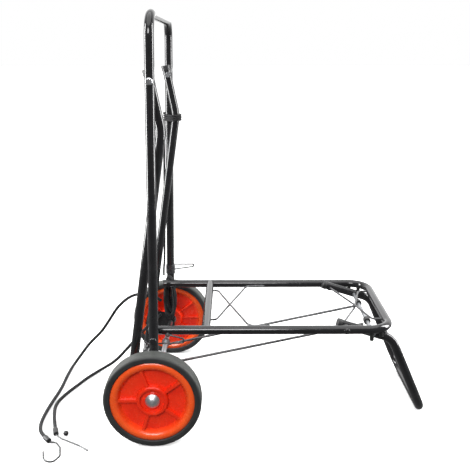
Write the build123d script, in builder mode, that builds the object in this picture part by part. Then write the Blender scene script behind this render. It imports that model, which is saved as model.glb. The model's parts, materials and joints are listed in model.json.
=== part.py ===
"""Folding platform cart: two wheels, a U-shaped push handle, a fold-up wire platform and a front leg.

Frame: +X points to the front of the platform, +Y to the cart's left, +Z up.
The origin lies on the floor, below the middle of the cart. Lengths are in millimetres.
"""
import math
import os

from build123d import *

os.makedirs("parts", exist_ok=True)

# ---------------------------------------------------------------- driving dimensions
# Places along the cart are given as distances ahead of the axle.
TUBE_R = 8.0             # every frame tube is 16 mm outside
TUBE_WALL = 1.5
FIT = 0.05               # radial clearance of a running fit
SIDES = (("left", 1), ("right", -1))

WHEEL_R = 85.0
TYRE_WIDTH = 30.0
TRACK = 390.0            # between the middle planes of the tyres
TYRE_SEAT_R = 73.0
BUSH_R = 8.0
AXLE_R = 5.0
AXLE_Z = WHEEL_R

LEAN = 0.016             # the uprights lean forward by 16 mm in a metre
UPRIGHT_Y = 170.0
UPRIGHT_FOOT_Z = 68.0
UPRIGHT_TOP_Z = 655.0
HANDLE_TOP_Z = 723.5     # centre line of the handle's top bar
HANDLE_BEND_R = 36.0

STRUT_Y = 152.0
STRUT_TOP = (4.3, 636.0)         # pairs are (ahead, height)
STRUT_ELBOW = (23.0, 541.0)
STRUT_SPLIT = (-45.8, 76.0)
STRUT_BAR_Z = 14.0       # centre line of the bar that joins the struts behind the axle
STRUT_BEND_R = 70.0
BOLT_Z = 621.0
BOLT_R = 3.0

HINGE_Z = 185.3          # height of the platform's hinge and rails
HINGE_BOLT_R = 3.5
HINGE_SPACER_R = 5.5
RAIL_Y = 129.0
RAIL_REAR = -9.0
FRONT_X = 423.0
FRONT_BEND_R = 40.0
FRONT_SPLIT = FRONT_X - FRONT_BEND_R - TUBE_R
CROSS_BAR_X = 90.0
WIRE_R = 2.0
WIRE_START_Y = 79.0

LEG_Y = 108.0
LEG_PIVOT = (342.0, HINGE_Z)
LEG_END = (330.5, 190.0)
LEG_ELBOW = (429.3, 159.8)
LEG_SPLIT = (471.5, 63.5)
LEG_FOOT = (495.8, TUBE_R)
LEG_BEND_R = 34.0
LEG_FOOT_R = 40.0
LEG_ROD = (394.0, 170.6)
LEG_ROD_R = 3.5
LEG_SLEEVE_R = 6.5

LINK_Y = 48.0
LINK_R = 2.5
LINK_DROP = 5.0          # a link rod runs this far below the centres it joins
LINK_EYE_R = 8.5
LINK_EYE_WIDTH = 6.0

CORD_R = 3.25
HOOK_WIRE_R = 1.5

AXLE_X = (WHEEL_R - LEG_FOOT[0] - TUBE_R) / 2    # puts the origin in the middle of the cart's length


# ---------------------------------------------------------------- helpers
def at(ahead, y, z):
    """A point given by its distance ahead of the axle."""
    return (AXLE_X + ahead, y, z)


def upright_x(z):
    """How far an upright's centre line is ahead of the axle at height z."""
    return LEAN * (z - AXLE_Z)


def save(part, name):
    part.label = name
    export_step(part, f"parts/{name}.step")


def cross_plane(ahead, y, z):
    """A plane across the cart, its z axis along +Y."""
    return Plane(origin=at(ahead, y, z), x_dir=(1, 0, 0), z_dir=(0, 1, 0))


def rod(points, radii, r, bore=0.0, holes=()):
    """A round rod, or a tube if it has a bore, bent along the points; holes (ahead, z, r) run along Y."""
    with BuildPart() as bent:
        with BuildLine() as path:
            if radii:
                FilletPolyline(*points, radius=radii)
            else:
                Polyline(*points)
        with BuildSketch(Plane(origin=path.line @ 0, z_dir=path.line % 0)):
            Circle(r)
            if bore:
                Circle(bore, mode=Mode.SUBTRACT)
        sweep(path=path.line)
        for ahead, z, hole_r in holes:
            with BuildSketch(cross_plane(ahead, 0, z)):
                Circle(hole_r)
            extrude(amount=TRACK, both=True, mode=Mode.SUBTRACT)
    return bent.part


def tube(points, radii=None, holes=()):
    return rod(points, radii, TUBE_R, TUBE_R - TUBE_WALL, holes)


def disc(ahead, z, y0, y1, r_out, r_in=0.0):
    """A disc, or a ring if r_in is given, from y0 to y1."""
    with BuildPart() as turned:
        with BuildSketch(cross_plane(ahead, min(y0, y1), z)):
            Circle(r_out)
            if r_in:
                Circle(r_in, mode=Mode.SUBTRACT)
        extrude(amount=abs(y1 - y0))
    return turned.part


def pair(make):
    """The same piece on both sides, as one node."""
    return Compound(children=[make(side) for _, side in SIDES])


# ---------------------------------------------------------------- wheels and axle
def wheel_plane(side):
    """Plane at a wheel's outer face, its z axis pointing to the middle of the cart."""
    face = side * (TRACK + TYRE_WIDTH) / 2
    return Plane(origin=at(0, face, AXLE_Z), x_dir=(1, 0, 0), z_dir=(0, -side, 0))


def turned_profile(side, profile):
    """A body of revolution about the axle; its profile is (radius, depth from the outer face)."""
    plane = wheel_plane(side)
    section = Plane(origin=plane.origin, x_dir=(1, 0, 0), z_dir=plane.z_dir.cross(plane.x_dir) * -1)
    with BuildPart() as body:
        with BuildSketch(section):
            with BuildLine():
                profile()
            make_face()
        revolve(axis=Axis(plane.origin, plane.z_dir))
    return body.part


def tyre_profile():
    shoulder, bead = 5.0, 1.5
    far = TYRE_WIDTH
    Polyline((TYRE_SEAT_R, bead), (TYRE_SEAT_R + bead, 0), (WHEEL_R - shoulder, 0))
    RadiusArc((WHEEL_R - shoulder, 0), (WHEEL_R, shoulder), -shoulder)
    Line((WHEEL_R, shoulder), (WHEEL_R, far - shoulder))
    RadiusArc((WHEEL_R, far - shoulder), (WHEEL_R - shoulder, far), -shoulder)
    Polyline((WHEEL_R - shoulder, far), (TYRE_SEAT_R + bead, far), (TYRE_SEAT_R, far - bead), (TYRE_SEAT_R, bead))


LIP_R, DISH_R, HUB_R, RECESS_R = 67.0, 60.0, 27.0, 21.0
WEB_FRONT, WEB_BACK = 12.0, 16.0
RIB_FRONT = 5.5


def rim_profile():
    """Rounded lip, conical dish, flat web and a recessed hub."""
    far, edge = TYRE_WIDTH, TYRE_SEAT_R
    Polyline(
        (BUSH_R, far), (BUSH_R, 9.0), (RECESS_R, 9.0), (RECESS_R + 1.0, 3.0), (HUB_R - 1.5, 3.0),
        (HUB_R, 5.0), (HUB_R + 1.5, WEB_FRONT), (DISH_R - 4.0, WEB_FRONT), (DISH_R, 4.0),
    )
    ThreePointArc((DISH_R, 4.0), (LIP_R, 0.6), (edge, 3.0))
    Polyline(
        (edge, 3.0), (edge, far - 3.0), (LIP_R, far - 1.0), (DISH_R + 2.0, far - 4.0),
        (DISH_R, WEB_BACK), (HUB_R + 1.0, WEB_BACK), (HUB_R - 6.0, far), (BUSH_R, far),
    )


def rim(side):
    """The rim with five ribs outside, one of them level and pointing to the rear, and ten inside."""
    plane = wheel_plane(side)
    with BuildPart() as body:
        add(turned_profile(side, rim_profile))
        with BuildSketch(plane.offset(WEB_FRONT + 1.0)):
            with PolarLocations((HUB_R + DISH_R) / 2, 5, start_angle=180):
                Rectangle(DISH_R - HUB_R + 5.0, 6.0)
        extrude(amount=RIB_FRONT - WEB_FRONT - 1.0, taper=4)
        with BuildSketch(plane.offset(WEB_BACK - 1.0)):
            with PolarLocations((HUB_R + DISH_R) / 2, 10, start_angle=180):
                Rectangle(DISH_R - HUB_R + 7.0, 2.4)
        extrude(amount=8.0)
    return body.part


def hub_bush(side):
    """A plastic sleeve in the hub that turns on the axle."""
    inner = (TRACK - TYRE_WIDTH) / 2
    return disc(0, AXLE_Z, side * inner, side * (inner + TYRE_WIDTH - 9.0), BUSH_R, AXLE_R + FIT)


def cap_profile():
    """A domed push cap on the end of the axle."""
    cap_r, edge, dome = 12.8, 5.0, -1.0
    ball_r = (cap_r**2 + (edge - dome) ** 2) / (2 * (edge - dome))
    half = math.asin(cap_r / ball_r) / 2
    Polyline((0, dome), (0, 2.6), (AXLE_R, 2.6), (AXLE_R, 7.6), (cap_r, 7.6), (cap_r, edge))
    ThreePointArc((cap_r, edge), (ball_r * math.sin(half), dome + ball_r * (1 - math.cos(half))), (0, dome))


for name, side in SIDES:
    save(turned_profile(side, tyre_profile), f"tyre_{name}")
    save(rim(side), f"rim_{name}")
    save(hub_bush(side), f"hub_bush_{name}")

save(pair(lambda side: turned_profile(side, cap_profile)), "hub_caps")

axle_end = (TRACK + TYRE_WIDTH) / 2 - 2.6
save(disc(0, AXLE_Z, -axle_end, axle_end, AXLE_R), "axle")

upright_face = UPRIGHT_Y + TUBE_R
save(pair(lambda side: disc(0, AXLE_Z, side * upright_face, side * (upright_face + 1.7), 11.0, AXLE_R)),
     "wheel_washers")

# ---------------------------------------------------------------- uprights and handle
upright_holes = (
    (0, AXLE_Z, AXLE_R),
    (upright_x(HINGE_Z), HINGE_Z, HINGE_BOLT_R),
    (upright_x(BOLT_Z), BOLT_Z, BOLT_R),
)
for name, side in SIDES:
    ends = [at(upright_x(z), side * UPRIGHT_Y, z) for z in (UPRIGHT_FOOT_Z, UPRIGHT_TOP_Z)]
    save(tube(ends, holes=upright_holes), f"upright_{name}")

bow_heights = (
    (-UPRIGHT_Y, UPRIGHT_TOP_Z), (-UPRIGHT_Y, HANDLE_TOP_Z), (UPRIGHT_Y, HANDLE_TOP_Z), (UPRIGHT_Y, UPRIGHT_TOP_Z),
)
bow_route = [at(upright_x(z), y, z) for y, z in bow_heights]
save(tube(bow_route, [HANDLE_BEND_R] * 2), "handle_bow")

# ---------------------------------------------------------------- rear struts
for name, side in SIDES:
    strut_route = [at(x, side * STRUT_Y, z) for x, z in (STRUT_TOP, STRUT_ELBOW, STRUT_SPLIT)]
    save(tube(strut_route, [STRUT_BEND_R], [(upright_x(BOLT_Z), BOLT_Z, BOLT_R)]), f"rear_strut_{name}")

strut_slope = (STRUT_ELBOW[0] - STRUT_SPLIT[0]) / (STRUT_ELBOW[1] - STRUT_SPLIT[1])
strut_bar_x = STRUT_SPLIT[0] + strut_slope * (STRUT_BAR_Z - STRUT_SPLIT[1])
foot_route = [
    at(STRUT_SPLIT[0], -STRUT_Y, STRUT_SPLIT[1]), at(strut_bar_x, -STRUT_Y, STRUT_BAR_Z),
    at(strut_bar_x, STRUT_Y, STRUT_BAR_Z), at(STRUT_SPLIT[0], STRUT_Y, STRUT_SPLIT[1]),
]
save(tube(foot_route, [HANDLE_BEND_R] * 2), "rear_foot_bow")


def end_cap(tip, inward, thickness=3.0, skirt=7.0, wall=0.9):
    """A plastic cap over a tube end at the point tip; inward points along the tube."""
    outward = Vector(*inward).normalized() * -1
    plane = Plane(origin=tip, x_dir=(0, 1, 0), z_dir=outward)
    with BuildPart() as cap:
        with BuildSketch(plane.offset(-skirt)):
            Circle(TUBE_R + wall)
            Circle(TUBE_R, mode=Mode.SUBTRACT)
        extrude(amount=skirt)
        with BuildSketch(plane):
            Circle(TUBE_R + wall)
        extrude(amount=thickness)
        fillet(cap.edges().sort_by(Axis(plane.origin, plane.z_dir))[-1], 1.5)
    return cap.part


def strut_cap(side):
    down = (STRUT_ELBOW[0] - STRUT_TOP[0], 0, STRUT_ELBOW[1] - STRUT_TOP[1])
    return end_cap(at(STRUT_TOP[0], side * STRUT_Y, STRUT_TOP[1]), down)


save(pair(strut_cap), "strut_caps")


def through_bolt(ahead, z, side, outer, inner, head_r=6.0, shank_r=BOLT_R):
    """A bolt along Y: domed head at |y| = outer, washer and nut at |y| = inner."""
    with BuildPart() as bolt:
        with BuildSketch(cross_plane(ahead, side * inner, z)):
            Circle(shank_r)
        extrude(amount=side * (outer - inner))
        with BuildSketch(cross_plane(ahead, side * outer, z)):
            Circle(head_r)
        extrude(amount=side * 3.0)
        outer_edge = bolt.edges().filter_by(GeomType.CIRCLE).sort_by(Axis.Y)[-1 if side > 0 else 0]
        fillet(outer_edge, 2.0)
        with BuildSketch(cross_plane(ahead, side * inner, z)):
            Circle(5.8)
        extrude(amount=-side * 1.0)
        with BuildSketch(cross_plane(ahead, side * (inner - 1.0), z)):
            RegularPolygon(5.2, 6)
        extrude(amount=-side * 3.4)
    return bolt.part


bolt_x = upright_x(BOLT_Z)
save(pair(lambda side: through_bolt(bolt_x, BOLT_Z, side, upright_face, STRUT_Y - TUBE_R)), "strut_bolts")

gap_inner, gap_outer = STRUT_Y + TUBE_R, UPRIGHT_Y - TUBE_R
save(pair(lambda side: disc(bolt_x, BOLT_Z, side * gap_inner, side * gap_outer, 7.0, BOLT_R)), "strut_spacers")


def axle_plate(side):
    """A 2 mm plate between upright and strut that ties both feet to the axle."""
    with BuildPart() as plate:
        with BuildSketch(cross_plane(0, side * gap_inner, 0)) as outline:
            with BuildLine():
                Polyline(*[(x, -z) for x, z in PLATE_CORNERS], close=True)
            make_face()
            fillet(outline.vertices(), 4.0)
        extrude(amount=side * (gap_outer - gap_inner))
        with BuildSketch(cross_plane(0, side * gap_inner, AXLE_Z)):
            Circle(AXLE_R)
        extrude(amount=side * (gap_outer - gap_inner), mode=Mode.SUBTRACT)
    return plate.part


PLATE_CORNERS = ((9, 73), (9, 104), (-33, 112), (-50, 108), (-56, 80), (-44, 73))
for name, side in SIDES:
    save(axle_plate(side), f"axle_plate_{name}")

# ---------------------------------------------------------------- platform hinge
hinge_x = upright_x(HINGE_Z)
rail_face = RAIL_Y + TUBE_R
save(pair(lambda side: through_bolt(hinge_x, HINGE_Z, side, upright_face, RAIL_Y - TUBE_R - 0.3,
                                    shank_r=HINGE_BOLT_R)), "hinge_bolts")
save(pair(lambda side: disc(hinge_x, HINGE_Z, side * (rail_face + 0.3), side * gap_outer,
                            HINGE_SPACER_R, HINGE_BOLT_R)), "hinge_spacers")

# ---------------------------------------------------------------- platform
rail_holes = ((hinge_x, HINGE_Z, HINGE_BOLT_R + FIT), (*LEG_PIVOT, BOLT_R))
for name, side in SIDES:
    ends = [at(x, side * RAIL_Y, HINGE_Z) for x in (RAIL_REAR, FRONT_SPLIT)]
    save(tube(ends, holes=rail_holes), f"rail_{name}")


def rail_plug(side):
    with BuildPart() as plug:
        with BuildSketch(Plane(origin=at(RAIL_REAR, side * RAIL_Y, HINGE_Z), z_dir=(-1, 0, 0))):
            Circle(TUBE_R)
        extrude(amount=2.5)
        fillet(plug.edges().sort_by(Axis.X)[0], 1.2)
    return plug.part


save(pair(rail_plug), "rail_plugs")

front_route = [
    at(FRONT_SPLIT, -RAIL_Y, HINGE_Z), at(FRONT_X, -RAIL_Y, HINGE_Z),
    at(FRONT_X, RAIL_Y, HINGE_Z), at(FRONT_SPLIT, RAIL_Y, HINGE_Z),
]
save(tube(front_route, [FRONT_BEND_R] * 2), "front_bow")



def cross_bar():
    """The tube between the rails, its ends cut to fit round them."""
    with BuildPart() as bar:
        with BuildSketch(cross_plane(CROSS_BAR_X, 0, HINGE_Z)):
            Circle(TUBE_R)
            Circle(TUBE_R - TUBE_WALL, mode=Mode.SUBTRACT)
        extrude(amount=RAIL_Y, both=True)
        for _, side in SIDES:
            with BuildSketch(Plane(origin=at(0, side * RAIL_Y, HINGE_Z), z_dir=(1, 0, 0))):
                Circle(TUBE_R)
            extrude(amount=2 * CROSS_BAR_X, mode=Mode.SUBTRACT)
    return bar.part


save(cross_bar(), "cross_bar")

WELD_REACH = TUBE_R + WIRE_R + 0.02               # from a tube's centre line to a wire along it
wire_start_x = CROSS_BAR_X + TUBE_R + 0.05


def rail_wire_y(z):
    """How far out a wire at height z lies when it touches a rail's inner side."""
    return RAIL_Y - math.sqrt(WELD_REACH**2 - (z - HINGE_Z) ** 2)


def rear_wire(side, start_z, crossing_z, rail_z):
    """From the cross bar across the middle to the other rail, and a little way along it."""
    along = rail_wire_y(rail_z)
    points = [
        at(wire_start_x, side * WIRE_START_Y, start_z), at(108, side * WIRE_START_Y, start_z),
        at(131, 0, crossing_z), at(168, -side * along, rail_z), at(205, -side * along, rail_z),
    ]
    return rod(points, [9, 40, 16], WIRE_R)


save(rear_wire(1, HINGE_Z + 1.5, HINGE_Z + 2.8, HINGE_Z + 4.0), "rear_wire_left")
save(rear_wire(-1, HINGE_Z, HINGE_Z - 1.4, HINGE_Z - 2.0), "rear_wire_right")


def front_wire(side, crossing_z):
    """From a leg pivot's nut across the middle to the front bar."""
    points = [
        at(LEG_PIVOT[0] + 1.0, side * 94.0, LEG_PIVOT[1] + 1.0), at(378, side * 2.0, crossing_z),
        at(398, -side * 77.0, HINGE_Z), at(FRONT_X - TUBE_R - 0.02, -side * 77.0, HINGE_Z),
    ]
    return rod(points, [60, 9], WIRE_R)


save(front_wire(1, 184.0), "front_wire_left")
save(front_wire(-1, 179.7), "front_wire_right")


def corner_buffers(side):
    """Two rubber pegs under each front corner."""
    pegs = []
    for ahead, y, length in ((388.0, RAIL_Y, 13.0), (406.3, 121.5, 9.0)):
        with BuildPart() as peg:
            with BuildSketch(Plane(origin=at(ahead, side * y, HINGE_Z - TUBE_R), z_dir=(0, 0, -1))):
                Circle(3.8)
            extrude(amount=length)
            fillet(peg.edges().sort_by(Axis.Z)[0], 1.2)
        pegs.append(peg.part)
    return pegs


save(Compound(children=corner_buffers(1) + corner_buffers(-1)), "corner_buffers")

# ---------------------------------------------------------------- leg
leg_face_out, leg_face_in = LEG_Y + TUBE_R, LEG_Y - TUBE_R
leg_holes = ((*LEG_PIVOT, BOLT_R + FIT), (*LEG_ROD, LEG_ROD_R))
for name, side in SIDES:
    arm_route = [at(x, side * LEG_Y, z) for x, z in (LEG_END, LEG_ELBOW, LEG_SPLIT)]
    save(tube(arm_route, [LEG_BEND_R], leg_holes), f"leg_arm_{name}")

leg_foot_route = [
    at(LEG_SPLIT[0], -LEG_Y, LEG_SPLIT[1]), at(LEG_FOOT[0], -LEG_Y, LEG_FOOT[1]),
    at(LEG_FOOT[0], LEG_Y, LEG_FOOT[1]), at(LEG_SPLIT[0], LEG_Y, LEG_SPLIT[1]),
]
save(tube(leg_foot_route, [LEG_FOOT_R] * 2), "leg_foot_bow")


def leg_cap(side):
    forward = (LEG_ELBOW[0] - LEG_END[0], 0, LEG_ELBOW[1] - LEG_END[1])
    return end_cap(at(LEG_END[0], side * LEG_Y, LEG_END[1]), forward, skirt=5.5)


save(pair(leg_cap), "leg_caps")
save(pair(lambda side: through_bolt(*LEG_PIVOT, side, rail_face, leg_face_in - 0.3, head_r=5.5)), "leg_pivot_bolts")
save(pair(lambda side: disc(*LEG_PIVOT, side * (leg_face_out + 0.3), side * (RAIL_Y - TUBE_R), 6.0, BOLT_R)),
     "leg_spacers")
save(disc(*LEG_ROD, -leg_face_out, leg_face_out, LEG_ROD_R), "leg_rod")
save(pair(lambda side: disc(*LEG_ROD, side * (LINK_Y - 6), side * (LINK_Y + 6), LEG_SLEEVE_R, LEG_ROD_R)),
     "leg_rod_sleeves")

# ---------------------------------------------------------------- link rods
link_angle = math.atan2(LEG_ROD[1] - AXLE_Z, LEG_ROD[0])
link_length = math.hypot(LEG_ROD[1] - AXLE_Z, LEG_ROD[0])
LINK_START, LINK_STOP = 5.4, 7.4     # how far from the two centres the straight part ends


def link_rod(side):
    """A rod with an eye on the axle; its front end stops just short of the sleeve on the leg's rod."""
    ahead, up = math.cos(link_angle), math.sin(link_angle)

    def along(distance):
        return at(ahead * distance + up * LINK_DROP, side * LINK_Y, AXLE_Z + up * distance - ahead * LINK_DROP)

    eye_y = side * LINK_Y - LINK_EYE_WIDTH / 2
    with BuildPart() as link:
        with BuildSketch(cross_plane(0, eye_y, AXLE_Z)):
            Circle(LINK_EYE_R)
        extrude(amount=LINK_EYE_WIDTH)
        with BuildLine() as path:
            Line(along(LINK_START), along(link_length - LINK_STOP))
        with BuildSketch(Plane(origin=path.line @ 0, z_dir=path.line % 0)):
            Circle(LINK_R)
        sweep(path=path.line)
        with BuildSketch(cross_plane(0, eye_y, AXLE_Z)):
            Circle(AXLE_R + FIT)
        extrude(amount=LINK_EYE_WIDTH, mode=Mode.SUBTRACT)
    return link.part


save(Compound(children=[link_rod(1), link_rod(-1)]), "link_rods")

clip_places = [
    side * LINK_Y + edge * (LINK_EYE_WIDTH / 2 + 0.3) for _, side in SIDES for edge in (1, -1)
]
save(Compound(children=[disc(0, AXLE_Z, y, y + math.copysign(1.2, y - math.copysign(LINK_Y, y)), 8.0, AXLE_R)
                        for y in clip_places]), "axle_clips")

# ---------------------------------------------------------------- platform latch and cord hook
LATCH_Y = -rail_face - 3.0
LATCH_PIVOT = (23.0, 181.0)


def latch_hook():
    """A bent wire on the right rail, its tail running back past the hinge."""
    route = [
        at(x, LATCH_Y, z)
        for x, z in ((25.6, 180.4), (50.5, 173.6), (51.5, 165.4), (-14.0, 163.8), (-19.5, 170.0))
    ]
    with BuildPart() as hook:
        with BuildSketch(cross_plane(LATCH_PIVOT[0], LATCH_Y - HOOK_WIRE_R, LATCH_PIVOT[1])):
            Circle(3.6)
        extrude(amount=2 * HOOK_WIRE_R)
        with BuildLine() as path:
            FilletPolyline(*route, radius=[3.0, 3.0, 2.6])
        with BuildSketch(Plane(origin=path.line @ 0, z_dir=path.line % 0)):
            Circle(HOOK_WIRE_R)
        sweep(path=path.line)
        with BuildSketch(cross_plane(LATCH_PIVOT[0], LATCH_Y - 2 * HOOK_WIRE_R, LATCH_PIVOT[1])):
            Circle(1.8 + FIT)
        extrude(amount=4 * HOOK_WIRE_R, mode=Mode.SUBTRACT)
    return hook.part


save(latch_hook(), "latch_hook")


def latch_screw():
    """A headed stud on the right rail's outer side."""
    outer = LATCH_Y - HOOK_WIRE_R - 0.3
    with BuildPart() as screw:
        with BuildSketch(cross_plane(LATCH_PIVOT[0], outer, LATCH_PIVOT[1])):
            Circle(1.8)
        extrude(amount=-RAIL_Y - outer)
        with BuildSketch(cross_plane(LATCH_PIVOT[0], outer - 1.6, LATCH_PIVOT[1])):
            Circle(3.4)
        extrude(amount=1.6)
        with BuildSketch(Plane(origin=at(0, -RAIL_Y, HINGE_Z), z_dir=(1, 0, 0))):
            Circle(TUBE_R)
        extrude(amount=2 * LATCH_PIVOT[0], mode=Mode.SUBTRACT)
    return screw.part


save(latch_screw(), "latch_screw")


def cord_hook():
    """A clamp ring round the left upright with a flat hairpin of wire pointing forwards."""
    low, high = 196.0, 216.0
    ring_r = TUBE_R + 2.0
    foot, top = (at(upright_x(z), UPRIGHT_Y, z) for z in (low, high))
    hairpin = [
        at(x, UPRIGHT_Y + ring_r + 0.6, z)
        for x, z in ((-5, 199.6), (50, 207.5), (54, 210.3), (50, 213.2), (-5, 213.2))
    ]
    with BuildPart() as hook:
        with BuildSketch(Plane(origin=foot, z_dir=Vector(*top) - Vector(*foot))):
            Circle(ring_r)
        extrude(amount=high - low)
        with BuildLine() as path:
            FilletPolyline(*hairpin, radius=2.2)
        with BuildSketch(Plane(origin=path.line @ 0, z_dir=path.line % 0)):
            Circle(HOOK_WIRE_R)
        sweep(path=path.line)
        with BuildSketch(Plane(origin=foot, z_dir=Vector(*top) - Vector(*foot))):
            Circle(TUBE_R)
        extrude(amount=high - low, mode=Mode.SUBTRACT)
    return hook.part


save(cord_hook(), "cord_hook")

# ---------------------------------------------------------------- elastic cord
WOUND_Z = (527.0, 542.0)
STRETCHED_R = 2.2          # the cord thins where it is pulled tight
HANK_Y = (140.0, 158.0)
HANK_TOP, HANK_FOOT = HINGE_Z + 5.9, 98.0
HANK_IN_R, HANK_OUT_R = 9.0, 15.5


def cord_winding():
    """Turns of cord round the left upright and strut, as one sleeve."""
    x_low, x_high = (upright_x(z) for z in WOUND_Z)
    centres = ((x_low, UPRIGHT_Y), (x_high, UPRIGHT_Y), (22.2, STRUT_Y), (20.0, STRUT_Y))
    with BuildPart() as winding:
        with BuildSketch(Plane(origin=at(0, 0, WOUND_Z[0]), z_dir=(0, 0, 1))):
            Polygon(*centres, align=None)
            offset(amount=TUBE_R + 0.05 + 2 * STRETCHED_R, kind=Kind.ARC)
        extrude(amount=WOUND_Z[1] - WOUND_Z[0])
        with BuildSketch(Plane(origin=at(0, 0, WOUND_Z[0]), z_dir=(0, 0, 1))):
            Polygon(*centres, align=None)
            offset(amount=TUBE_R + 0.05, kind=Kind.ARC)
        extrude(amount=WOUND_Z[1] - WOUND_Z[0], mode=Mode.SUBTRACT)
    return winding.part


save(cord_winding(), "cord_winding")


def cord_hank():
    """The hank of spare cord hanging over the left hinge spacer."""
    middle = (HANK_TOP - HANK_IN_R + HANK_FOOT + HANK_IN_R) / 2
    span = HANK_TOP - HANK_FOOT
    with BuildPart() as hank:
        with BuildSketch(cross_plane(0, HANK_Y[0], middle)):
            SlotOverall(span + 2 * (HANK_OUT_R - HANK_IN_R), 2 * HANK_OUT_R, rotation=90)
            SlotOverall(span, 2 * HANK_IN_R, rotation=90, mode=Mode.SUBTRACT)
        extrude(amount=HANK_Y[1] - HANK_Y[0])
    return hank.part


save(cord_hank(), "cord_hank")


def cord(name, places, r=CORD_R):
    """A run of cord through the places (ahead, y, z), each corner rounded as far as its runs allow."""
    points = [Vector(*at(*place)) for place in places]
    radii = []
    for before, corner, after in zip(points, points[1:], points[2:]):
        first, second = corner - before, after - corner
        half_turn = math.radians(first.get_angle(second)) / 2
        radii.append(0.45 * min(first.length, second.length) / math.tan(half_turn))
    body = rod([tuple(point) for point in points], radii, r)
    with BuildLine() as centre:
        FilletPolyline(*points, radius=radii)
    length = sum(edge.length for edge in centre.edges())
    expected = math.pi * r**2 * length
    print(f"{name}: length {length:.0f} mm, smallest radius {min(radii):.1f} mm,"
          f" volume ratio {body.volume / expected:.4f}")
    save(body, name)


REST = CORD_R + 0.3      # height of the cord's centre line where it lies on the floor

cord("cord_run", (
    (-3.9, 170.0, 526.7), (-9.3, 168.0, 236.0), (-12.0, 158.0, 208.0), (-11.2, 152.0, 196.4),
), STRETCHED_R)
cord("cord_strand_1", (
    (-18.4, 144.2, 141.6), (-30.0, 138.6, 152.0), (-54.0, 137.5, 158.5), (-80.3, 141.0, 156.0),
    (-112.6, 148.0, 128.0), (-133.0, 152.0, 95.0), (-153.8, 152.0, 64.0), (-180.1, 149.0, 40.0),
    (-198.0, 134.0, 17.0), (-211.0, 104.0, REST), (-212.0, 60.0, REST), (-210.7, 0.0, REST),
    (-215.5, -55.0, REST), (-217.7, -115.0, REST), (-214.0, -148.0, REST), (-206.0, -170.0, REST + 0.5),
    (-195.0, -184.0, REST + 1.5),
))
cord("cord_strand_2", (
    (-18.4, 145.0, 109.6), (-45.0, 137.0, 88.0), (-72.0, 124.0, 62.0), (-97.0, 113.0, 36.0),
    (-118.4, 108.0, 14.0), (-146.3, 90.0, REST), (-167.5, 51.5, REST), (-182.0, 15.0, REST),
    (-196.0, -20.0, REST), (-207.0, -62.0, REST), (-197.0, -115.0, REST + 0.3), (-184.0, -156.0, REST + 1.5),
))


def hook_end(name, barrel, wire, bends, knob=None):
    """A plastic barrel on a cord's end, with a bent wire hook and, on one of them, a knob."""
    start, stop = (Vector(*at(*place)) for place in barrel)
    with BuildPart() as fitting:
        with BuildSketch(Plane(origin=start, z_dir=stop - start)):
            Circle(CORD_R + 1.4)
        extrude(amount=(stop - start).length)
        fillet(fitting.edges().filter_by(GeomType.CIRCLE), 1.0)
        if knob:
            with BuildSketch(Plane(origin=at(*knob), x_dir=(1, 0, 0), z_dir=(0, 0, 1))) as ball:
                Circle(BARREL_Z)
                Rectangle(2 * BARREL_Z, BARREL_Z, align=(Align.CENTER, Align.MAX), mode=Mode.SUBTRACT)
            revolve(axis=Axis(at(*knob), (1, 0, 0)))
    save(fitting.part, f"{name}_barrel")
    save(rod([at(*place) for place in wire], bends, HOOK_WIRE_R), f"{name}_wire")


BARREL_Z = CORD_R + 1.5
hook_end("cord_hook_1", ((-194.6, -184.5, BARREL_Z + 0.2), (-184.6, -197.2, BARREL_Z + 0.2)),
         ((-183.7, -198.4, 3.4), (-172.0, -199.6, 3.4), (-161.5, -215.0, 3.4), (-155.0, -242.0, 3.4),
          (-164.0, -264.0, 3.4), (-180.0, -253.0, 3.4), (-187.0, -229.0, 3.4)), [9.0, 14.0, 14.0, 8.5, 9.0])
hook_end("cord_hook_2", ((-183.8, -156.6, BARREL_Z + 0.2), (-178.0, -174.5, BARREL_Z + 0.2)),
         ((-177.5, -175.0, 3.4), (-166.0, -186.5, 3.4), (-147.0, -198.5, 3.4), (-127.5, -211.0, 3.4),
          (-112.0, -225.0, 3.4)), [16.0, 24.0, 20.0], knob=(-161.0, -171.5, BARREL_Z + 0.2))
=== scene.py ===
"""Looks of the folding luggage cart: materials, elastic cord, camera, floor and studio light."""
import json
import math

import bpy
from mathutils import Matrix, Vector


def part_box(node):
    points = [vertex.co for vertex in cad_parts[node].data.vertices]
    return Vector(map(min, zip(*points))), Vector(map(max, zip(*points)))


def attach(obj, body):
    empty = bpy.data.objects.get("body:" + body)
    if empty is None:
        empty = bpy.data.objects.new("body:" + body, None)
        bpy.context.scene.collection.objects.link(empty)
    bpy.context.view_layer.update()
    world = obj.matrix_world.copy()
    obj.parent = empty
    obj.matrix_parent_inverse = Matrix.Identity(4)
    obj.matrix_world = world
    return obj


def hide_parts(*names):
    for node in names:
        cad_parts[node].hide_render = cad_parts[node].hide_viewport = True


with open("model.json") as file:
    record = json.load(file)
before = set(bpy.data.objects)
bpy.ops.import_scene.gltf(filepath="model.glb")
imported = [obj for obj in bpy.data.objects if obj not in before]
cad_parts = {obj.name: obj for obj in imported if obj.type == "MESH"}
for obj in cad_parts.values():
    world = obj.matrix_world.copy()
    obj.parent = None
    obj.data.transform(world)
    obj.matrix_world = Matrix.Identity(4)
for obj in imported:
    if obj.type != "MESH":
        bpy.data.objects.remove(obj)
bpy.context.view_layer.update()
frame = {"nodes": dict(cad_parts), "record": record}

# ---------------------------------------------------------------- places from the frame
MM = 0.001
AXLE_LOW, AXLE_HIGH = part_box("axle")
AXLE = (AXLE_LOW + AXLE_HIGH) / 2       # middle of the axle, in metres
CORD_R = 3.25 * MM                      # limp cord
STRETCHED_R = 2.2 * MM                  # cord under tension, thinner
WHITE = (1.0, 1.0, 1.0, 1.0)


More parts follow.
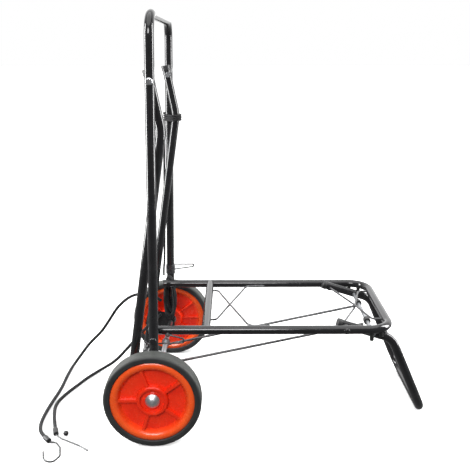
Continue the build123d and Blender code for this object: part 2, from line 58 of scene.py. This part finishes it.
def at(ahead, y, z):
    """A point given in millimetres, ahead measured from the axle."""
    return Vector((AXLE.x + ahead * MM, y * MM, z * MM))


# ---------------------------------------------------------------- materials
def ramp_between(tree, fac, low, high, start=0.0, end=1.0):
    """A value that goes from low to high as fac goes from start to end."""
    node = tree.nodes.new("ShaderNodeMapRange")
    node.inputs["From Min"].default_value = start
    node.inputs["From Max"].default_value = end
    node.inputs["To Min"].default_value = low
    node.inputs["To Max"].default_value = high
    tree.links.new(fac, node.inputs["Value"])
    return node.outputs["Result"]


def noise(tree, coords, scale, detail=4.0, rough=0.55):
    """A soft random value from 0 to 1."""
    node = tree.nodes.new("ShaderNodeTexNoise")
    node.inputs["Scale"].default_value = scale
    node.inputs["Detail"].default_value = detail
    node.inputs["Roughness"].default_value = rough
    tree.links.new(coords, node.inputs["Vector"])
    return node.outputs["Fac"]


def mix_colours(tree, fac, one, two):
    """From colour one to colour two as fac goes from 0 to 1; each is a triple or a socket."""
    node = tree.nodes.new("ShaderNodeMix")
    node.data_type = "RGBA"
    tree.links.new(fac, node.inputs["Factor"])
    for socket, value in ((node.inputs[6], one), (node.inputs[7], two)):
        if isinstance(value, tuple):
            socket.default_value = (*value, 1.0)
        else:
            tree.links.new(value, socket)
    return node.outputs[2]


def bump(tree, height, strength, distance, before=None):
    """A bumped normal, laid over the normal given as before."""
    node = tree.nodes.new("ShaderNodeBump")
    node.inputs["Strength"].default_value = strength
    node.inputs["Distance"].default_value = distance
    tree.links.new(height, node.inputs["Height"])
    if before is not None:
        tree.links.new(before, node.inputs["Normal"])
    return node.outputs["Normal"]


def surface(name, colours, roughness, metallic=0.0, grain=(900.0, 0.12, 0.00008), cloud=35.0,
            coat=0.0, coat_rough=0.05, specular=0.5, sheen=0.0):
    """A principled material: two colours mixed in soft clouds, uneven gloss and a fine grain."""
    made = bpy.data.materials.new(name)
    made.use_nodes = True
    tree = made.node_tree
    shader = tree.nodes["Principled BSDF"]
    coords = tree.nodes.new("ShaderNodeTexCoord").outputs["Object"]
    clouds = noise(tree, coords, cloud, 5.0)
    tree.links.new(mix_colours(tree, ramp_between(tree, clouds, 0.0, 1.0, 0.3, 0.7), *colours),
                   shader.inputs["Base Color"])
    smudges = noise(tree, coords, cloud * 3.3, 6.0, 0.7)
    tree.links.new(ramp_between(tree, smudges, *roughness, 0.3, 0.7), shader.inputs["Roughness"])
    size, strength, depth = grain
    grit = noise(tree, coords, size, 3.0, 0.6)
    tree.links.new(bump(tree, grit, strength, depth), shader.inputs["Normal"])
    shader.inputs["Metallic"].default_value = metallic
    shader.inputs["Coat Weight"].default_value = coat
    shader.inputs["Coat Roughness"].default_value = coat_rough
    shader.inputs["Specular IOR Level"].default_value = specular
    shader.inputs["Sheen Weight"].default_value = sheen
    return made


def axle_radius(tree, coords):
    """Distance from the wheels' axis, in metres."""
    shift = tree.nodes.new("ShaderNodeMapping")
    shift.inputs["Location"].default_value = (-AXLE.x, 0.0, -AXLE.z)
    shift.inputs["Scale"].default_value = (1.0, 0.0, 1.0)
    tree.links.new(coords, shift.inputs["Vector"])
    length = tree.nodes.new("ShaderNodeVectorMath")
    length.operation = "LENGTH"
    tree.links.new(shift.outputs["Vector"], length.inputs[0])
    return length.outputs["Value"]


def by_radius(made, outer_colours, start, end):
    """Blends the material's colour into another pair as the distance from the axle grows."""
    tree = made.node_tree
    shader = tree.nodes["Principled BSDF"]
    inner = shader.inputs["Base Color"].links[0].from_socket
    coords = tree.nodes.new("ShaderNodeTexCoord").outputs["Object"]
    outer = mix_colours(tree, noise(tree, coords, 60.0), *outer_colours)
    fac = ramp_between(tree, axle_radius(tree, coords), 0.0, 1.0, start, end)
    tree.links.new(mix_colours(tree, fac, inner, outer), shader.inputs["Base Color"])
    return made


enamel = surface("black_enamel", ((0.009, 0.009, 0.010), (0.016, 0.016, 0.017)), (0.09, 0.17),
                 grain=(45.0, 0.02, 0.00005), specular=0.5)
tyre_rubber = by_radius(
    surface("tyre_rubber", ((0.018, 0.019, 0.020), (0.034, 0.035, 0.035)), (0.50, 0.68),
            grain=(700.0, 0.30, 0.00015), specular=0.35),
    ((0.030, 0.032, 0.030), (0.050, 0.053, 0.049)), 0.0825, 0.0846)
# The rim's outer lip is painted a lighter orange than the web: a painted highlight where the glossy lip
# catches the light.
rim_plastic = by_radius(
    surface("rim_plastic", ((0.80, 0.022, 0.005), (0.90, 0.042, 0.009)), (0.20, 0.32),
            grain=(260.0, 0.06, 0.00010), coat=0.25, coat_rough=0.08, specular=0.4),
    ((0.88, 0.074, 0.010), (0.93, 0.120, 0.020)), 0.054, 0.064)
moulded = surface("black_moulded", ((0.010, 0.010, 0.011), (0.020, 0.020, 0.021)), (0.34, 0.50),
                  grain=(1400.0, 0.30, 0.00012), specular=0.5)
bright = surface("bright_plate", ((0.62, 0.63, 0.65), (0.76, 0.77, 0.79)), (0.14, 0.30), metallic=1.0,
                 grain=(800.0, 0.12, 0.00006))
zinc = surface("zinc_plate", ((0.36, 0.37, 0.39), (0.52, 0.53, 0.55)), (0.26, 0.42), metallic=1.0,
               grain=(600.0, 0.20, 0.00008))
wire_coat = surface("wire_coat", ((0.018, 0.018, 0.020), (0.040, 0.040, 0.043)), (0.20, 0.34),
                    grain=(900.0, 0.18, 0.00006), coat=0.4, coat_rough=0.15)
cap_plate = surface("cap_plate", ((0.80, 0.81, 0.83), (0.90, 0.91, 0.92)), (0.30, 0.42), metallic=1.0,
                    grain=(600.0, 0.10, 0.00006))
soft_rubber = surface("soft_rubber", ((0.008, 0.008, 0.008), (0.018, 0.018, 0.018)), (0.48, 0.66),
                      grain=(1100.0, 0.35, 0.00012), specular=0.35)


def woven(name):
    """Braided cover of the elastic: a fine diamond weave of black yarn, with painted shade in its
    grooves.
    """
    made = surface(name, ((0.004, 0.004, 0.005), (0.013, 0.013, 0.015)), (0.55, 0.80), cloud=160.0,
                   grain=(1800.0, 0.5, 0.0002), specular=0.25, sheen=0.06)
    tree = made.node_tree
    shader = tree.nodes["Principled BSDF"]
    coords = tree.nodes.new("ShaderNodeTexCoord").outputs["Object"]
    height = None
    for turn in (0.6, -0.6):
        mapping = tree.nodes.new("ShaderNodeMapping")
        mapping.inputs["Rotation"].default_value = (turn, turn, 0.8)
        tree.links.new(coords, mapping.inputs["Vector"])
        wave = tree.nodes.new("ShaderNodeTexWave")
        wave.inputs["Scale"].default_value = 330.0
        wave.inputs["Distortion"].default_value = 1.2
        tree.links.new(mapping.outputs["Vector"], wave.inputs["Vector"])
        if height is None:
            height = wave.outputs["Fac"]
        else:
            both = tree.nodes.new("ShaderNodeMath")
            both.operation = "MAXIMUM"
            tree.links.new(height, both.inputs[0])
            tree.links.new(wave.outputs["Fac"], both.inputs[1])
            height = both.outputs["Value"]
    before = shader.inputs["Normal"].links[0].from_socket
    tree.links.new(bump(tree, height, 0.7, 0.0005, before), shader.inputs["Normal"])
    colour = shader.inputs["Base Color"].links[0].from_socket
    # The grooves between the yarns are painted darker: painted shade in the weave, over the bump.
    groove_shade_mask = ramp_between(tree, height, 0.0, 0.75)
    tree.links.new(mix_colours(tree, groove_shade_mask, (0.006, 0.006, 0.007), colour),
                   shader.inputs["Base Color"])
    return made


braid = woven("elastic_braid")

SLOT_LOOKS = {
    "black_paint": enamel, "tyre": tyre_rubber, "rim_red": rim_plastic, "black_plastic": moulded,
    "bright_steel": bright, "zinc_steel": zinc, "dark_wire": wire_coat, "cap_metal": cap_plate,
    "buffer_rubber": soft_rubber, "cord": braid,
}
for part in frame["record"]["subparts"]:
    node = frame["nodes"][part["node"]]
    look = SLOT_LOOKS[part["material_slot"]]
    if not node.material_slots:
        node.data.materials.append(look)
    for held in node.material_slots:
        held.material = look


# ---------------------------------------------------------------- elastic cord
def cord_line(name, points, radius=CORD_R, look=braid, sides=5):
    """One open NURBS spline through the given route, with a round section."""
    curve = bpy.data.curves.new(name, "CURVE")
    curve.dimensions = "3D"
    curve.bevel_depth = radius
    curve.bevel_resolution = sides
    curve.resolution_u = 8
    curve.use_fill_caps = True
    spline = curve.splines.new("NURBS")
    spline.points.add(len(points) - 1)
    for target, point in zip(spline.points, points):
        target.co = (*point, 1.0)
    spline.order_u = 3
    spline.use_endpoint_u = True
    curve.materials.append(look)
    made = bpy.data.objects.new(name, curve)
    bpy.context.scene.collection.objects.link(made)
    return made


def route(*places):
    return [at(*place) for place in places]


LOW_Z = 3.55             # height of the cord's middle where it lies on the floor, in millimetres
RUN = route(
    (-3.9, 170.0, 526.7), (-9.3, 168.0, 236.0), (-12.0, 158.0, 208.0), (-11.2, 152.0, 196.4),
)
STRAND_1 = route(
    (-18.4, 144.2, 141.6), (-30.0, 138.6, 152.0), (-54.0, 137.5, 158.5), (-80.3, 141.0, 156.0),
    (-112.6, 148.0, 128.0), (-133.0, 152.0, 95.0), (-153.8, 152.0, 64.0), (-180.1, 149.0, 40.0),
    (-198.0, 134.0, 17.0), (-211.0, 104.0, LOW_Z), (-212.0, 60.0, LOW_Z), (-210.7, 0.0, LOW_Z),
    (-215.5, -55.0, LOW_Z), (-217.7, -115.0, LOW_Z), (-214.0, -148.0, LOW_Z),
    (-206.0, -170.0, LOW_Z + 0.5), (-195.0, -184.0, LOW_Z + 1.5),
)
STRAND_2 = route(
    (-18.4, 145.0, 109.6), (-45.0, 137.0, 88.0), (-72.0, 124.0, 62.0), (-97.0, 113.0, 36.0),
    (-118.4, 108.0, 14.0), (-146.3, 90.0, LOW_Z), (-167.5, 51.5, LOW_Z), (-182.0, 15.0, LOW_Z),
    (-196.0, -20.0, LOW_Z), (-207.0, -62.0, LOW_Z), (-197.0, -115.0, LOW_Z + 0.3),
    (-184.0, -156.0, LOW_Z + 1.5),
)

strands = (
    ("elastic_strand_1", STRAND_1, "cord_strand_1", 0.581, "cord_hook_1"),
    ("elastic_strand_2", STRAND_2, "cord_strand_2", 0.437, "cord_hook_2"),
)
for name, points, node, length, hook in strands:
    strand = cord_line(name, points)
    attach(strand, "frame")
    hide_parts(node)

run = cord_line("elastic_run", RUN, STRETCHED_R)
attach(run, "frame")
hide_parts("cord_run")


def round_pair(angle, reach):
    """A point on the tight outline round the left upright and strut, reach from their centre lines."""
    upright, strut = Vector((7.2, 170.0)), Vector((21.6, 152.0))
    along = (strut - upright).normalized()
    across = Vector((-along.y, along.x))
    way = Vector((math.cos(angle), math.sin(angle)))
    centre = strut if way.x > 0 else upright
    return centre + (along * way.x + across * way.y) * reach


WIND_TURNS, WIND_STEPS = 3, 14
WIND_START = -2.2                        # angle at which the winding begins
WIND_REACH, WIND_WANDER = 10.5, 0.35     # from the tubes' centre lines, and how far it varies
WIND_LOW, WIND_RISE = 529.4, 4.508       # height of the first turn, and rise per turn
winding_points = []
for index in range(WIND_TURNS * WIND_STEPS + 1):
    turn = index / WIND_STEPS
    reach = WIND_REACH + WIND_WANDER * math.sin(5.0 * turn)
    place = round_pair(WIND_START + 2 * math.pi * turn, reach)
    winding_points.append(at(place.x, place.y, WIND_LOW + WIND_RISE * turn))
winding = cord_line("elastic_winding", winding_points, STRETCHED_R)
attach(winding, "frame")
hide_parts("cord_winding")


# A loose hank: each turn is a long loop that hangs over the hinge spacer and differs in size.
HANK_TURNS = (
    # (y at the top, y at the foot, half width at the belly, foot height, lean of the belly)
    (143.6, 145.5, 10.2, 99.0, 0.6),
    (150.3, 143.9, 11.6, 107.0, 1.4),
    (155.0, 152.0, 9.4, 95.5, -1.0),
    (147.2, 154.2, 11.2, 112.0, 2.4),
    (152.0, 147.0, 8.0, 116.0, 4.4),
)
LOOP_STEPS = 16
TOP_AHEAD, TOP_Z = 0.4, 194.2            # where the loops hang from
hank_points = []
for number, (top_y, foot_y, belly, foot, lean) in enumerate(HANK_TURNS):
    next_top_y = HANK_TURNS[min(number + 1, len(HANK_TURNS) - 1)][0]
    for step in range(LOOP_STEPS):
        share = step / LOOP_STEPS
        angle = 2 * math.pi * share
        down = (1 - math.cos(angle)) / 2
        wide = belly * math.sin(angle) * (0.80 + 0.35 * down)
        side_y = top_y + (foot_y - top_y) * down + (next_top_y - top_y) * share * share
        height = TOP_Z - (TOP_Z - foot) * down
        hank_points.append(at(TOP_AHEAD + wide + lean * down, side_y, height))
hank = cord_line("elastic_hank", hank_points)
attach(hank, "frame")
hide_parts("cord_hank")

# ---------------------------------------------------------------- camera, floor and light
scene = bpy.context.scene
camera_data = bpy.data.cameras.new("camera")
camera_data.lens = 53.45
camera_data.sensor_width = 36.0
camera_data.shift_x = -0.0046
camera_data.shift_y = 0.0073
camera = bpy.data.objects.new("camera", camera_data)
scene.collection.objects.link(camera)
camera.location = at(140.0, -1291.3, 666.7)
camera.rotation_mode = "QUATERNION"
camera.rotation_quaternion = Vector((0.00522, 0.96578, -0.25931)).to_track_quat("-Z", "Y")
scene.camera = camera


def split_by_ray(tree, mirrored, seen, output):
    """The camera's own rays see one shader, and every other ray sees the mirrored one."""
    rays = tree.nodes.new("ShaderNodeLightPath")
    chosen = tree.nodes.new("ShaderNodeMixShader")
    tree.links.new(rays.outputs["Is Camera Ray"], chosen.inputs["Fac"])
    tree.links.new(mirrored, chosen.inputs[1])
    tree.links.new(seen, chosen.inputs[2])
    tree.links.new(chosen.outputs["Shader"], tree.nodes[output].inputs["Surface"])


FLOOR_SIZE = 60.0
floor_mesh = bpy.data.meshes.new("floor")
half = FLOOR_SIZE / 2
corners = [(-half, -half, 0), (half, -half, 0), (half, half, 0), (-half, half, 0)]
floor_mesh.from_pydata(corners, [], [(0, 1, 2, 3)])
floor = bpy.data.objects.new("floor", floor_mesh)
scene.collection.objects.link(floor)
floor_look = bpy.data.materials.new("floor_white")
floor_look.use_nodes = True
floor_shader = floor_look.node_tree.nodes["Principled BSDF"]
floor_shader.inputs["Base Color"].default_value = (0.93, 0.93, 0.93, 1.0)
floor_shader.inputs["Roughness"].default_value = 0.7
floor_shader.inputs["Emission Color"].default_value = WHITE
floor_shader.inputs["Emission Strength"].default_value = 0.12
# The camera sees a white floor. Every other ray, and so each reflection in the tubes, sees a glow
# that is dark in front of the cart and bright behind it.
tree = floor_look.node_tree
spot = tree.nodes.new("ShaderNodeSeparateXYZ")
tree.links.new(tree.nodes.new("ShaderNodeTexCoord").outputs["Object"], spot.inputs["Vector"])
mirrored = tree.nodes.new("ShaderNodeEmission")
tree.links.new(ramp_between(tree, spot.outputs["Y"], 0.13, 0.95, -0.3, 1.3), mirrored.inputs["Strength"])
split_by_ray(tree, mirrored.outputs["Emission"], floor_shader.outputs["BSDF"], "Material Output")
floor_mesh.materials.append(floor_look)

world = bpy.data.worlds.new("studio")
world.use_nodes = True
sky = world.node_tree
seen = sky.nodes["Background"]
seen.inputs["Color"].default_value = WHITE
seen.inputs["Strength"].default_value = 1.0
cast = sky.nodes.new("ShaderNodeBackground")
cast.inputs["Color"].default_value = WHITE
direction = sky.nodes.new("ShaderNodeSeparateXYZ")
sky.links.new(sky.nodes.new("ShaderNodeTexCoord").outputs["Generated"], direction.inputs["Vector"])
glow = ramp_between(sky, direction.outputs["Y"], 0.14, 1.9, 0.05, 0.8)
sky.links.new(glow, cast.inputs["Strength"])
split_by_ray(sky, cast.outputs["Background"], seen.outputs["Background"], "World Output")
scene.world = world
scene.view_settings.view_transform = "Standard"


def aim_at(lamp, place, aim):
    lamp.location = place
    lamp.rotation_mode = "QUATERNION"
    lamp.rotation_quaternion = (Vector(aim) - Vector(place)).to_track_quat("-Z", "Y")
    scene.collection.objects.link(lamp)


def soft_light(name, place, aim, size, power):
    data = bpy.data.lights.new(name, "AREA")
    data.shape = "RECTANGLE"
    data.size, data.size_y = size
    data.energy = power
    aim_at(bpy.data.objects.new(name, data), place, aim)


daylight = bpy.data.lights.new("overhead", "SUN")
daylight.energy = 2.5
daylight.angle = math.radians(75.0)
aim_at(bpy.data.objects.new("overhead", daylight), (0.0, 0.0, 3.0), (0.10, 0.35, 0.0))

soft_light("strip_left", (-1.75, -0.05, 0.85), (-0.2, 0.0, 0.75), (0.45, 1.5), 60.0)
soft_light("strip_right", (1.45, 0.05, 0.85), (-0.2, 0.0, 0.75), (0.45, 1.5), 48.0)
soft_light("front", (-0.5, -2.6, 1.9), (-0.1, 0.0, 0.3), (1.5, 0.9), 62.0)
